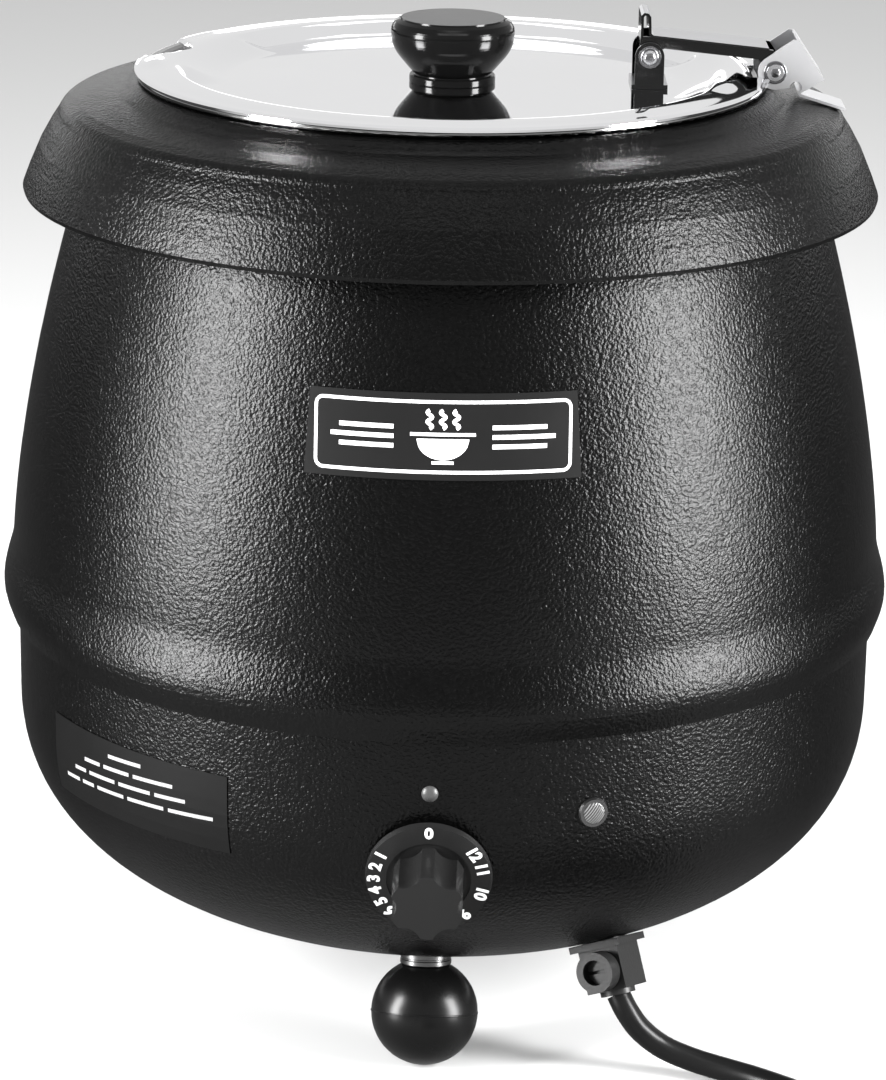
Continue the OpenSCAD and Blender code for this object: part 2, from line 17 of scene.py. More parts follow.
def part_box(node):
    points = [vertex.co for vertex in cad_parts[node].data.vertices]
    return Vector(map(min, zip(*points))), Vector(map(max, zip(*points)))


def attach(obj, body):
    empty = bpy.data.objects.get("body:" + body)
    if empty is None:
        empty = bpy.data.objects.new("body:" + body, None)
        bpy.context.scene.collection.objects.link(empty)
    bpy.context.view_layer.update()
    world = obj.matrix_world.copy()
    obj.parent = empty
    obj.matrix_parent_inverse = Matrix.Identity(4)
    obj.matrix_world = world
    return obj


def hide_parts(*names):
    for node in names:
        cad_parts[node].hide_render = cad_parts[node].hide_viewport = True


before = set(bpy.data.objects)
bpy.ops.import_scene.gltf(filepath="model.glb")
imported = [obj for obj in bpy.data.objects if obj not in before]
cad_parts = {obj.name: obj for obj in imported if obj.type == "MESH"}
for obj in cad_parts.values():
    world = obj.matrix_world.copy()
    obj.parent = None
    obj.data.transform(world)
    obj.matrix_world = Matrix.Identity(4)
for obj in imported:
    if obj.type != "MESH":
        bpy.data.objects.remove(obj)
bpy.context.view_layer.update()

# %% [markdown]
# ## Where the kettle stands
# Nearly everything on a kettle is turned round one upright axis, so it pays to know that axis first.
# It is the middle of the upper shell's box. All later sizes are typed in millimetres from that axis
# and from the table, as they'd be on a drawing, and one function turns them into a place in metres.

# %% The kettle's own axis
MM = 0.001
shell_low, shell_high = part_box("upper_shell")
AXIS = Vector(((shell_low.x + shell_high.x) / 2, (shell_low.y + shell_high.y) / 2, 0))


def place(x, y, z):
    """A place in metres, from millimetres measured from the kettle's axis and the table."""
    return AXIS + Vector((x, y, z)) * MM


def around(turn, radius, z):
    """A place at an angle from the front, in degrees towards the hinge side, at a radius and height."""
    a = math.radians(turn)
    return place(radius * math.sin(a), -radius * math.cos(a), z)


print("axis at", [round(c, 4) for c in AXIS])

# %% [markdown]
# ## The camera
# A kettle is usually shown from a little above, so that its lid reads as a round plate and its front
# stays upright. A long lens from well over a metre away keeps the sides nearly parallel. The camera
# is tipped down and rolled by less than one degree; the roll is set after the tilt, about the
# camera's own line of sight.

# %% Place the camera
CAMERA_BACK = 1400
CAMERA_HIGH = 613.9
CAMERA_SIDE = -0.8
TILT_DOWN = 17.4705
ROLL = 0.8753
LENS = 126.2

camera_data = bpy.data.cameras.new("kettle_camera")
camera_data.lens = LENS
camera_data.sensor_width = 36
camera = bpy.data.objects.new("kettle_camera", camera_data)
bpy.context.scene.collection.objects.link(camera)
aim = Matrix.Rotation(math.radians(90 - TILT_DOWN), 4, "X") @ Matrix.Rotation(math.radians(ROLL), 4, "Z")
camera.matrix_world = Matrix.Translation(place(CAMERA_SIDE, -CAMERA_BACK, CAMERA_HIGH)) @ aim
bpy.context.scene.camera = camera

# %% [markdown]
# ## Smooth lines through a few points
# A Catmull-Rom curve passes through every point that it is given, which suits a cord or an outline
# whose points were measured on the thing itself. A Bezier curve would need handles as well.

# %% A curve through points
def through(points, steps):
    """Points of a smooth curve through the given ones, with so many steps between neighbours."""
    p = [Vector(q) for q in points]
    made = []
    for i in range(len(p) - 1):
        a, b, c, d = p[max(i - 1, 0)], p[i], p[i + 1], p[min(i + 2, len(p) - 1)]
        for k in range(steps):
            t = k / steps
            bend = 2 * a - 5 * b + 4 * c - d
            swing = 3 * b - a - 3 * c + d
            made.append(0.5 * (2 * b + (c - a) * t + bend * t**2 + swing * t**3))
    return made + [p[-1]]


def ease(t):
    """Rises from 0 to 1 with no corner at either end."""
    t = min(max(t, 0.0), 1.0)
    return t * t * (3 - 2 * t)


# %% [markdown]
# ## The mains cord
# The cord is one flexible lead of 1.5 m. It leaves the gland along the gland's own line, bends down to
# the table, and runs off to a neat coil in which the rest of it is put away, held by a tie. It could
# be simulated, but a stiff lead on a flat table hardly sags, so a route through chosen points is as
# true and never changes. The coil is worked out as turns in lanes: three side by side on the table,
# then back over the top. A lane is one cord's diameter wide, so neighbours touch and don't cross.

# %% The cord's route
CORD_D = 9
CORD_R = CORD_D / 2
COIL_AT = (142, -222)
COIL_R = 47
COIL_START = 44.6
COIL_END = -110
LANES = (COIL_R + CORD_D, COIL_R, COIL_R - CORD_D)
TOP_Z = CORD_R + CORD_D
SHIFT = 35

gland_out = Vector((0.2360, -0.3805, -0.8942))
gland_mouth = Vector((66.98, -108.02, 31.42))
lead = [
    (70.3, -110.8, 25.6), (75.6, -110.8, 18.2), (84, -110.6, 11.4), (95, -111.8, 7), (106, -115.6, 5.2),
    (118, -122, CORD_R), (130, -131.5, CORD_R), (143, -143.5, CORD_R), (156, -156.5, CORD_R),
    (169, -169.7, CORD_R),
]
tail = [
    (89.7, -252.7, 13.5), (82.6, -250.1, 12.6), (75.1, -247.4, 10.6), (67.6, -244.6, 8.8),
    (60, -241.9, 8.2),
]


def lane(turned):
    """Radius and height of the cord's middle after so many degrees round the coil."""
    if turned < 360:
        return LANES[0] + (LANES[1] - LANES[0]) * ease((turned - 360 + SHIFT) / SHIFT), CORD_R
    if turned < 720:
        return LANES[1] + (LANES[2] - LANES[1]) * ease((turned - 720 + SHIFT) / SHIFT), CORD_R
    climb = ease((turned - 1080 + 2 * SHIFT) / SHIFT)
    out = ease((turned - 1440 + 3 * SHIFT) / SHIFT)
    return LANES[2] + (LANES[1] - LANES[2]) * out, CORD_R + CORD_D * climb


def coil_points(step=6):
    """The middle of the cord round its coil, clockwise as seen from above."""
    whole = 360 * 4 + COIL_START - COIL_END
    count = round(whole / step)
    for k in range(count + 1):
        radius, z = lane(whole * k / count)
        a = math.radians(COIL_START - whole * k / count)
        yield Vector((COIL_AT[0] + radius * math.cos(a), COIL_AT[1] + radius * math.sin(a), z))


into_plug = Vector((math.cos(math.radians(160)), math.sin(math.radians(160)), 0)) * 10.5
coil = list(coil_points())
lead_line = through([gland_mouth - gland_out * 2, gland_mouth, *lead, coil[0], coil[3]], 5)[5:-5]
tail_line = through([coil[-3], coil[-1], *tail, Vector(tail[-1]) + into_plug], 4)[4:]
route = lead_line + coil[1:-1] + tail_line
cord_length = sum((b - a).length for a, b in zip(route, route[1:])) * MM
print("cord length in metres:", round(cord_length, 4), "points:", len(route))

# %% [markdown]
# A curve is drawn as a tube by its bevel depth, times a radius held at each point. The depth here is 1
# and each point carries the cord's true radius, so that the curve's own box is the cord's box: with
# the radii left at their default of 1 m, the box would reach a metre past the cord.

# %% The cord as a curve
cord_curve = bpy.data.curves.new("mains_cord", "CURVE")
cord_curve.dimensions = "3D"
cord_curve.bevel_depth = 1.0
cord_curve.bevel_resolution = 8
cord_curve.use_fill_caps = True
line = cord_curve.splines.new("POLY")
line.points.add(len(route) - 1)
for point, spot in zip(line.points, route):
    point.co = (*place(*spot), 1)
    point.radius = CORD_R * MM
cord = bpy.data.objects.new("mains_cord", cord_curve)
bpy.context.scene.collection.objects.link(cord)
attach(cord, "kettle_base")
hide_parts("power_cord", "cord_coil")

# %% [markdown]
# ## Writing materials as sums
# A node tree is a formula drawn as boxes. It is easier to read as the formula itself, so this cell
# wraps a socket in a small class whose plus, minus, times and so on each add a Math node. `1 - mask`
# works as well as `mask - 1`, because the reflected forms are there too. Colours and vectors don't
# go through these: a Math node would turn a colour grey, so they have Mix and Vector Math instead.

# %% Sockets that do sums
class Value:
    """A number that varies over a surface, held as an output socket."""

    def __init__(self, nodes, socket):
        self.nodes, self.socket = nodes, socket

    def math(self, operation, *values):
        return self.nodes.add("ShaderNodeMath", {"operation": operation}, dict(enumerate(values)))

    def __add__(self, other):
        return self.math("ADD", self, other)

    def __radd__(self, other):
        return self.math("ADD", other, self)

    def __sub__(self, other):
        return self.math("SUBTRACT", self, other)

    def __rsub__(self, other):
        return self.math("SUBTRACT", other, self)

    def __mul__(self, other):
        return self.math("MULTIPLY", self, other)

    def __rmul__(self, other):
        return self.math("MULTIPLY", other, self)

    def __truediv__(self, other):
        return self.math("DIVIDE", self, other)

    def __rtruediv__(self, other):
        return self.math("DIVIDE", other, self)

    def __pow__(self, other):
        return self.math("POWER", self, other)

    def clamp(self):
        return self.math("MINIMUM", self.math("MAXIMUM", self, 0.0), 1.0)


class Nodes:
    """A node tree that is being written."""

    def __init__(self, tree):
        self.tree = tree

    def feed(self, socket, value):
        if isinstance(value, Value):
            self.tree.links.new(value.socket, socket)
        elif isinstance(value, (tuple, list)) and len(value) == 3 and len(socket.default_value) == 4:
            socket.default_value = (*value, 1.0)
        else:
            socket.default_value = value

    def add(self, kind, settings=None, values=None, out=0):
        """Adds one node: settings are its own properties, values go to its sockets."""
        node = self.tree.nodes.new(kind)
        for key, setting in (settings or {}).items():
            setattr(node, key, setting)
        for key, value in (values or {}).items():
            self.feed(node.inputs[key], value)
        return Value(self, node.outputs[out])


class Finish(Nodes):
    """One material under construction: its nodes, and the shader that they feed."""

    def __init__(self, name):
        self.material = bpy.data.materials.new(name)
        self.material.use_nodes = True
        super().__init__(self.material.node_tree)
        self.tree.nodes.clear()
        self.shader = self.tree.nodes.new("ShaderNodeBsdfPrincipled")
        output = self.tree.nodes.new("ShaderNodeOutputMaterial")
        self.tree.links.new(self.shader.outputs[0], output.inputs[0])

    def set(self, **inputs):
        """Feeds the shader's own sockets, written with underscores for spaces."""
        for key, value in inputs.items():
            self.feed(self.shader.inputs[key.replace("_", " ")], value)
        return self

    def here(self):
        return self.add("ShaderNodeTexCoord", out=3)

    def noise(self, scale, detail=2.0, roughness=0.5, at=None):
        return self.add("ShaderNodeTexNoise", values={
            "Vector": self.here() if at is None else at,
            "Scale": scale, "Detail": detail, "Roughness": roughness,
        })

    def stretched(self, x, y, z):
        return self.add("ShaderNodeMapping", values={"Vector": self.here(), "Scale": (x, y, z)})

    def blend(self, mask, first, second):
        """A colour that is the first where the mask is 0 and the second where it is 1."""
        return self.add("ShaderNodeMix", {"data_type": "RGBA"}, {0: mask, 6: first, 7: second}, out=2)

    def bump(self, height, distance):
        return self.add("ShaderNodeBump", values={"Height": height, "Distance": distance, "Strength": 1.0})


# %% [markdown]
# ## Black wrinkle coat
# The shell, the base bowl and the collar wear a black powder coat that shrinks as it is baked into a
# skin of small soft wrinkles a couple of millimetres long. A flat picture of such a skin could be
# wrapped round the kettle, but it would show a seam and stretch over the curves. Noise in three
# dimensions has neither fault. Two sizes are added: a broad one that folds, and a fine one that
# breaks up the light. The hollows are painted a little darker than the crests, as painted shade. The
# coat's colour and its specular level are set far below a real powder coat's, to suit this scene's
# bright boxes.

# %% The coat on the shells
def wrinkle_coat(name, depth, grey=0.0004, gloss=0.26):
    finish = Finish(name)
    broad = finish.noise(840, 1.0, 0.4)
    fine = finish.noise(1900, 1.0, 0.5)
    height = broad + fine * 0.30
    patches = finish.noise(7, 3.0)
    # The hollows of the broad noise get a darker colour than its crests: painted shade in the wrinkles.
    colour = finish.blend((broad * 2.2 - 0.6).clamp(), (grey * 0.4,) * 3, (grey * 1.8,) * 3)
    return finish.set(
        Base_Color=colour,
        Specular_IOR_Level=0.08,
        Roughness=gloss - 0.03 + patches * 0.06,
        Normal=finish.bump(height, depth),
    ).material


shell_coat = wrinkle_coat("shell_wrinkle_coat", 0.00034)
bowl_coat = wrinkle_coat("bowl_wrinkle_coat", 0.00040)
collar_coat = wrinkle_coat("collar_wrinkle_coat", 0.00034)


# %% [markdown]
# ## Bright steels
# The lid is polished until it is a mirror, the pot is satin inside, and the hinge parts are pressings
# that keep a faint drawn grain. A metal's look is nearly all in how its reflections spread, so each
# steel gets its own roughness, a slow cloudiness from handling, and fine scratches as a bump. Two of
# them carry painted light over a mask. The pot is bright below its rim, and the rim is painted dark
# as a painted reflection of the black collar. The arm is bright on the faces that look up and down,
# and it is painted dark on its upright faces, as painted shade.

# %% Steel finishes
def steel(name, colour, roughness, scratch=0.0, cloud=0.04, along=(1, 1, 1)):
    finish = Finish(name)
    haze = finish.noise(14, 4.0, 0.6)
    grain = finish.noise(900, 2.0, 0.5, at=finish.stretched(*along))
    finish.set(
        Base_Color=finish.blend(haze, tuple(c * 0.94 for c in colour), colour),
        Metallic=1.0,
        Roughness=(haze * cloud + (roughness - cloud / 2)).clamp(),
    )
    if scratch:
        finish.set(Normal=finish.bump(grain, scratch))
    return finish.material


def painted_shade_steel(name, light, dark, roughness, mask_of):
    """A steel whose colour and gloss change over a mask; the colour change is painted light: painted shade
    on the arm's upright faces and a painted dark reflection on the pot's rim.
    """
    finish = Finish(name)
    haze = finish.noise(14, 4.0, 0.6)
    mask = mask_of(finish)
    return finish.set(
        Base_Color=finish.blend(mask, dark, light),
        Metallic=1.0,
        Roughness=haze * 0.05 + mask * (roughness - 0.1) + 0.08,
    ).material


def faces_up(finish):
    """1 on faces that look up or down, 0 on upright ones."""
    normal = finish.add("ShaderNodeNewGeometry", out=1)
    upright = finish.add("ShaderNodeSeparateXYZ", values={"Vector": normal}, out=2)
    return (upright.math("ABSOLUTE", upright) * 4.0 - 1.0).clamp()


def below_rim(finish):
    """1 below the pot's rolled rim, 0 on the rim."""
    height = finish.add("ShaderNodeSeparateXYZ", values={"Vector": finish.here()}, out=2)
    return ((POT_RIM_Z - height) * 900).clamp()


POT_RIM_Z = 0.3528
mirror = steel("mirror_lid_steel", (0.86, 0.86, 0.87), 0.045, cloud=0.03)
# pot_steel: bright below the rim and dark on it; the dark rim is a painted reflection of the black collar.
pot_steel = painted_shade_steel("pot_steel", (0.70, 0.70, 0.71), (0.20, 0.20, 0.20), 0.24, below_rim)
# arm_steel: bright on faces that look up and down, and painted dark on upright faces as painted shade.
arm_steel = painted_shade_steel("arm_steel", (0.36, 0.36, 0.37), (0.03, 0.03, 0.03), 0.30, faces_up)
well_steel = steel("well_steel", (0.62, 0.62, 0.63), 0.32, 0.00003, along=(1, 1, 0.05))
hinge_steel = steel("hinge_steel", (0.56, 0.56, 0.57), 0.33, 0.000015, along=(0.1, 1, 1))
pin_steel = steel("pin_steel", (0.50, 0.50, 0.51), 0.24, 0.000012)
zinc = steel("zinc_plate", (0.60, 0.61, 0.62), 0.34, 0.00002)
brass = steel("brass_contacts", (0.80, 0.64, 0.34), 0.24, 0.00001)
copper = steel("copper_tube", (0.78, 0.42, 0.27), 0.26, 0.00001)
cast_alloy = steel("cast_aluminium", (0.66, 0.66, 0.67), 0.45, 0.00012)
dark_sheath = steel("oxidised_sheath", (0.16, 0.15, 0.15), 0.5, 0.00008)


# %% [markdown]
# ## Plastics, rubber and felt
# The knob and the ball feet are phenolic, moulded black and buffed, so they are the smoothest. The
# dial and the gland are moulded with a fine spark-eroded skin, and the cord is rubber with a little
# dust. All of them share one recipe: a dark base that wear lightens in patches, and a fine bump.
# `shine` is the specular level. It is kept low on the black pieces, like the coat's.

# %% Moulded finishes
def moulded(name, colour, roughness, skin=0.0, skin_scale=1500, shine=0.17, dust=0.25):
    finish = Finish(name)
    wear = finish.noise(22, 4.0, 0.6)
    grain = finish.noise(skin_scale, 2.0, 0.55)
    lighter = tuple(min(1.0, c * (1 + dust) + 0.004 * dust) for c in colour)
    finish.set(
        Base_Color=finish.blend(wear, colour, lighter),
        Roughness=(wear * 0.10 + (roughness - 0.05)).clamp(),
        Specular_IOR_Level=shine,
    )
    if skin:
        finish.set(Normal=finish.bump(grain, skin))
    return finish.material


phenolic = moulded("buffed_phenolic", (0.001, 0.001, 0.001), 0.13, 0.000006, 300, shine=0.08)
foot_phenolic = moulded("foot_phenolic", (0.001, 0.001, 0.001), 0.27, 0.000008, 300, shine=0.10)
satin_black = moulded("satin_black", (0.004, 0.004, 0.004), 0.26, 0.00003, shine=0.4)
dial_black = moulded("dial_black", (0.0045, 0.0045, 0.0045), 0.26, 0.00002, shine=0.08)
gland_black = moulded("gland_black", (0.0055, 0.0055, 0.0055), 0.34, 0.00004, 900, shine=0.12)
cord_rubber = moulded("cord_rubber", (0.0014, 0.0014, 0.0014), 0.30, 0.00003, 700, shine=0.08, dust=0.6)
plug_rubber = moulded("plug_rubber", (0.006, 0.006, 0.006), 0.40, 0.00006, 800, dust=0.5)
tie_nylon = moulded("tie_nylon", (0.008, 0.008, 0.008), 0.45, 0.00004)
ivory = moulded("ivory_moulding", (0.72, 0.68, 0.56), 0.4, 0.00004)
white_moulding = moulded("white_moulding", (0.78, 0.78, 0.76), 0.4, 0.00004)
seal_rubber = moulded("seal_rubber", (0.25, 0.25, 0.25), 0.5, 0.00004)
felt = moulded("glass_felt", (0.72, 0.70, 0.64), 0.9, 0.0006, 260)
ceramic = moulded("cutout_ceramic", (0.80, 0.78, 0.72), 0.3, 0.00003)
index_metal = moulded("index_dome", (0.020, 0.020, 0.020), 0.34, 0.00002)
white_ink = moulded("white_ink", (0.42, 0.42, 0.42), 0.5, dust=0.02)
grey_ink = moulded("grey_ink", (0.13, 0.13, 0.13), 0.5, dust=0.04)
plate_black = moulded("plate_black", (0.003, 0.003, 0.003), 0.34, 0.00001, 500, shine=0.10)
film_black = moulded("film_black", (0.0014, 0.0014, 0.0014), 0.42, 0.00002, 500, shine=0.05)

# %% [markdown]
# ## Dressing the frame
# Parts whose shape the frame already holds only need their finish. The table below says which finish
# each one takes, and the loop puts it in the part's own material slot.

# %% Finishes for the frame's own parts
DRESS = {
    shell_coat: ["upper_shell"], bowl_coat: ["base_bowl"], collar_coat: ["rim_collar"],
    pot_steel: ["soup_pot"], well_steel: ["water_well"], hinge_steel: ["clip_bracket"],
    arm_steel: ["hinge_arm", "lid_bracket"], pin_steel: ["clip_pin", "arm_pin", "lid_rivets"],
    zinc: ["tie_rod", "tie_nut", "bottom_cover", "cover_screws", "foot_studs", "foot_nuts", "knob_screw",
           "dial_spindle"],
    brass: ["element_terminals", "terminal_screws", "earth_stud", "plug_blades", "plug_earth_pin"],
    copper: ["sensor_bulb", "capillary_tube"], cast_alloy: ["heater_plate"],
    dark_sheath: ["heating_element"],
    phenolic: ["lid_knob"], foot_phenolic: ["foot_balls"], satin_black: ["foot_collars", "lamp_bezel"],
    dial_black: ["dial"], gland_black: ["cord_gland", "gland_screw", "gland_nut"],
    plug_rubber: ["plug_body"],
    tie_nylon: ["cord_tie"], ivory: ["thermostat_body"], white_moulding: ["terminal_block", "lamp_body"],
    seal_rubber: ["well_gasket"], felt: ["insulation_jacket"], ceramic: ["thermal_cutout"],
    index_metal: ["dial_index"], plate_black: ["front_badge"], film_black: ["caution_label"],
    mirror: ["lid_panel"],
}
for finish_material, names in DRESS.items():
    for name in names:
        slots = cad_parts[name].material_slots
        if not slots:
            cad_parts[name].data.materials.append(finish_material)
        for part_slot in slots:
            part_slot.material = finish_material
cord_curve.materials.append(cord_rubber)
dressed = {n for names in DRESS.values() for n in names}
print("dressed later:", sorted(set(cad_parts) - dressed))

# %% [markdown]
# ## Helpers for turned and bent pieces
# Most of what is added here is either turned, like the lid, or printed or pressed onto a curved
# skin, like the figures and the plate. One helper makes an object from points and faces, one gives the
# faces of a solid from a skin and its underside, and a later one lays flat outlines on the kettle's
# own curve.

# %% Mesh helpers
def piece(name, body, material, points, faces, stands_for=(), smooth=True):
    """An object made from points in metres, riding on a body and dressed in one material."""
    data = bpy.data.meshes.new(name)
    data.from_pydata([tuple(p) for p in points], [], faces)
    made = bmesh.new()
    made.from_mesh(data)
    bmesh.ops.recalc_face_normals(made, faces=made.faces)
    for face in made.faces:
        face.smooth = smooth
    made.to_mesh(data)
    made.free()
    if smooth:
        data.set_sharp_from_angle(angle=math.radians(38))
    data.materials.append(material)
    made_object = bpy.data.objects.new(name, data)
    bpy.context.scene.collection.objects.link(made_object)
    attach(made_object, body)
    if stands_for:
        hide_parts(*stands_for)
    return made_object


def solid_grid(rows, columns, top, under, closed):
    """Faces of a skin and its underside, as two grids of points, joined along their open edges."""
    across = columns if closed else columns - 1
    index = lambda side, i, j: side * rows * columns + i * columns + j % columns
    faces = []
    for i in range(rows - 1):
        for j in range(across):
            faces.append([index(0, i, j), index(0, i + 1, j), index(0, i + 1, j + 1), index(0, i, j + 1)])
            faces.append([index(1, i, j), index(1, i, j + 1), index(1, i + 1, j + 1), index(1, i + 1, j)])
    for i in (0, rows - 1):
        for j in range(across):
            faces.append([index(0, i, j), index(0, i, j + 1), index(1, i, j + 1), index(1, i, j)])
    if not closed:
        for j in (0, columns - 1):
            for i in range(rows - 1):
                faces.append([index(0, i, j), index(1, i, j), index(1, i + 1, j), index(0, i + 1, j)])
    return list(top) + list(under), faces


# %% [markdown]
# ## The mirror lid
# The lid is a steel disc pressed in one blow: a flat middle, a step up to a flat rim, a turned-down
# edge, a bite for the ladle, and a gap for the hinge. The step isn't a full ring. It fades out beside
# the ladle's bite and near the hinge, where the middle rises to the rim as one gentle slope, and it
# ends there in small rounded hooks. A turned outline can't do that, so the lid is a height map in
# polar form: for each angle and radius a function says how high the sheet is. A mirror shows every
# change of slope, so the rings lie close together wherever the height changes.

# %% The lid's height and edge
LID_R = 118.3
LID_Z = 358.5
PANEL_Z = 353.1
SHEET = 0.8
STEP_IN, STEP_OUT = 97.4, 102.6
LADLE_TURN = 164
BITE_R = 105
BITE_HALF = 9.5
BEAD_TURN = 181
HINGE_GAP = 14.4
HINGE_EDGE = 110.7


def turned_by(angle, middle):
    return (angle - middle + 180) % 360 - 180


def lid_edge(angle):
    """Radius of the sheet's edge at an angle from the hinge side."""
    a = math.radians(angle)
    reach = LID_R
    off = abs(turned_by(angle, LADLE_TURN))
    if off < BITE_HALF:
        reach = BITE_R + (LID_R - BITE_R) * (off / BITE_HALF) ** 1.7
    if abs(LID_R * math.sin(a)) < HINGE_GAP and math.cos(a) > 0:
        reach = min(reach, HINGE_EDGE / math.cos(a))
    return reach


def lid_height(radius, angle, from_edge):
    """Height of the sheet's top at a radius and angle, so far in from its edge."""
    ladle_off = abs(turned_by(angle, LADLE_TURN))
    near_ladle = ease((26 - ladle_off) / 9)
    near_hinge = ease((27 - abs(turned_by(angle, 0))) / 9)
    fade = max(near_ladle, near_hinge)
    steep = ease((radius - STEP_IN) / (STEP_OUT - STEP_IN))
    long_slope = ease((radius - 84) / 22)
    rise = PANEL_Z + (LID_Z + 0.4 - PANEL_Z) * (steep * (1 - fade) + long_slope * fade)
    rim_fall = 0.5 * ease((radius - 106) / 9)
    lip = (0.6 + 2.2 * ease((BITE_HALF + 2 - ladle_off) / 3)) * ease((1.9 - from_edge) / 1.9)
    hump = 1.6 * near_hinge * ease((radius - 96) / 6) * ease((112 - radius) / 6)
    bead = 1.1 * math.exp(-((radius - 111) / 2.6) ** 2 - (turned_by(angle, BEAD_TURN) / 4.2) ** 2)
    return rise - rim_fall * (1 - 0.5 * fade) - lip + hump + bead


rings = [3, 12, 30, 55, 75, 84, 103.5, 104.5, 106, 108, 110, 112, 113.5, 115]
rings += [84 + 0.7 * k for k in range(1, 19)] + [STEP_IN + 0.4 * k for k in range(14)]
rings = sorted(set(round(r, 2) for r in rings))
rings += [LID_R - 1.8, LID_R - 1.3, LID_R - 0.9, LID_R - 0.5, LID_R - 0.2, LID_R]
TURNS = 720
lid_top, lid_under = [], []
for radius in rings:
    for k in range(TURNS):
        angle = 360 * k / TURNS
        reach = min(radius, lid_edge(angle) - (LID_R - radius) * 0.15)
        a = math.radians(angle)
        z = lid_height(reach, angle, lid_edge(angle) - reach)
        lid_top.append(place(reach * math.cos(a), reach * math.sin(a), z))
        lid_under.append(place(reach * math.cos(a), reach * math.sin(a), z - SHEET))
points, faces = solid_grid(len(rings), TURNS, lid_top, lid_under, True)
piece("pressed_lid", "lid", mirror, points, faces, ["lid_panel"])
print("lid rings:", len(rings), "faces:", len(faces))

# %% [markdown]
# ## Printing on curved skins
# The plate's frame and picture, the film's lines and the dial's figures are all ink a few hundredths
# of a millimetre thick. An image could be projected, but it'd be blurred up close. Here each mark is
# a thin solid band between two lines of points, laid out flat and then wrapped onto the skin. The
# plate carries a plain picture of a steaming bowl, and the film carries plain lines in rows.

# %% Bands wrapped onto a skin
def bands(name, material, marks, spot, thick=0.08):
    """Thin solids from marks, each a list of pairs of flat points and whether it closes on itself."""
    points, faces = [], []
    for pairs, closed in marks:
        flat = [a for a, _ in pairs] + [b for _, b in pairs]
        top = [spot(u, v, thick) for u, v in flat]
        under = [spot(u, v, 0) for u, v in flat]
        made_points, made_faces = solid_grid(2, len(pairs), top, under, closed)
        faces += [[len(points) + i for i in face] for face in made_faces]
        points += made_points
    return piece(name, "kettle_base", material, points, faces, smooth=False)


def stroke(line, half):
    """Pairs of points either side of a line of flat points."""
    pairs = []
    for i, (u, v) in enumerate(line):
        before, after = line[max(i - 1, 0)], line[min(i + 1, len(line) - 1)]
        du, dv = after[0] - before[0], after[1] - before[1]
        across, along = half * dv / math.hypot(du, dv), half * du / math.hypot(du, dv)
        pairs.append(((u - across, v + along), (u + across, v - along)))
    return pairs


def rounded(half_u, half_v, corner, steps=8):
    """The outline of a rectangle with round corners, with extra points along its long sides."""
    line = []
    for cu, cv, start in ((1, 1, 0), (-1, 1, 90), (-1, -1, 180), (1, -1, 270)):
        for k in range(steps + 1):
            a = math.radians(start + 90 * k / steps)
            u = cu * (half_u - corner) + corner * math.cos(a)
            v = cv * (half_v - corner) + corner * math.sin(a)
            line.append((u, v))
        if start in (0, 180):
            span = half_u - corner
            line += [(cu * (span - 2 * span * k / 24), cv * half_v) for k in range(1, 24)]
    return line


# %% The plate's frame and picture
PLATE_LOW, PLATE_HIGH = 244.2, 273.4
PLATE_TURN = -0.5
PLATE_THICK = 0.84


def shell_radius(z):
    return 166.3 - 0.0105 * max(z - 172, 0) ** 1.58


def on_plate(u, v, lift):
    z = (PLATE_LOW + PLATE_HIGH) / 2 + v
    share = (z - PLATE_LOW) / (PLATE_HIGH - PLATE_LOW)
    low, high = shell_radius(PLATE_LOW), shell_radius(PLATE_HIGH)
    radius = low + share * (high - low) + PLATE_THICK
    return around(PLATE_TURN + math.degrees(u / radius), radius + lift, z)


frame_out, frame_in = rounded(44.9, 12.3, 3.2), rounded(43.8, 11.2, 2.1)
marks = [(list(zip(frame_out, frame_in)), True)]
bowl_line = [-9 + 18 * k / 30 for k in range(31)]
marks.append(([((u, -0.6), (u, -0.7 - 7 * math.sqrt(1 - (u / 9.01) ** 2))) for u in bowl_line], False))
marks.append((stroke([(u * 1.25, 0.9) for u in bowl_line], 0.55), False))
marks.append((stroke([(u * 0.42, -8.6) for u in bowl_line], 0.5), False))
for shift in (-4.6, 0, 4.6):
    wave = [(shift + 0.9 * math.sin(k / 12 * math.tau), 2.8 + 6.2 * k / 24) for k in range(25)]
    marks.append((stroke(wave, 0.6), False))
for side in (-1, 1):
    for v, reach in ((3.2, 36), (0, 39), (-3.2, 36)):
        marks.append((stroke([(side * (17 + (reach - 17) * k / 16), v) for k in range(17)], 0.75), False))
bands("plate_print", white_ink, marks, on_plate)

# %% The film's lines
BOWL_R, BOWL_WAIST, BOWL_DEPTH, BOWL_POWER = 164.4, 120, 92, 2.3
FILM_TILT = 0.05
FILM_THICK = 0.41
MM_PER_DEGREE = 2.86


def bowl_radius(z):
    return BOWL_R * (1 - (max(0, BOWL_WAIST - z) / BOWL_DEPTH) ** BOWL_POWER) ** (1 / BOWL_POWER)


def on_film(u, v, lift):
    """A spot on the film: degrees round from the front, and a height that rises a little to the right."""
    z = v + FILM_TILT * (u + 44) * MM_PER_DEGREE
    return around(u, bowl_radius(z) + FILM_THICK + lift, z)


ROWS = [
    (124.6, [(-47.4, -41.2)]), (119.9, [(-52.6, -49.2), (-48.4, -43.4), (-42.6, -35.8)]),
    (115.2, [(-55, -52.4), (-51.6, -46.2), (-45.4, -39.6), (-38.8, -33.8)]),
    (110.5, [(-57.4, -54.2), (-53.4, -50.8), (-50, -44.6), (-43.8, -37.4), (-36.6, -29.6)]),
]
marks = []
for v, words in ROWS:
    for low, high in words:
        marks.append((stroke([(low + (high - low) * k / 10, v) for k in range(11)], 0.72), False))
bands("film_print", grey_ink, marks, on_film, thick=0.06)

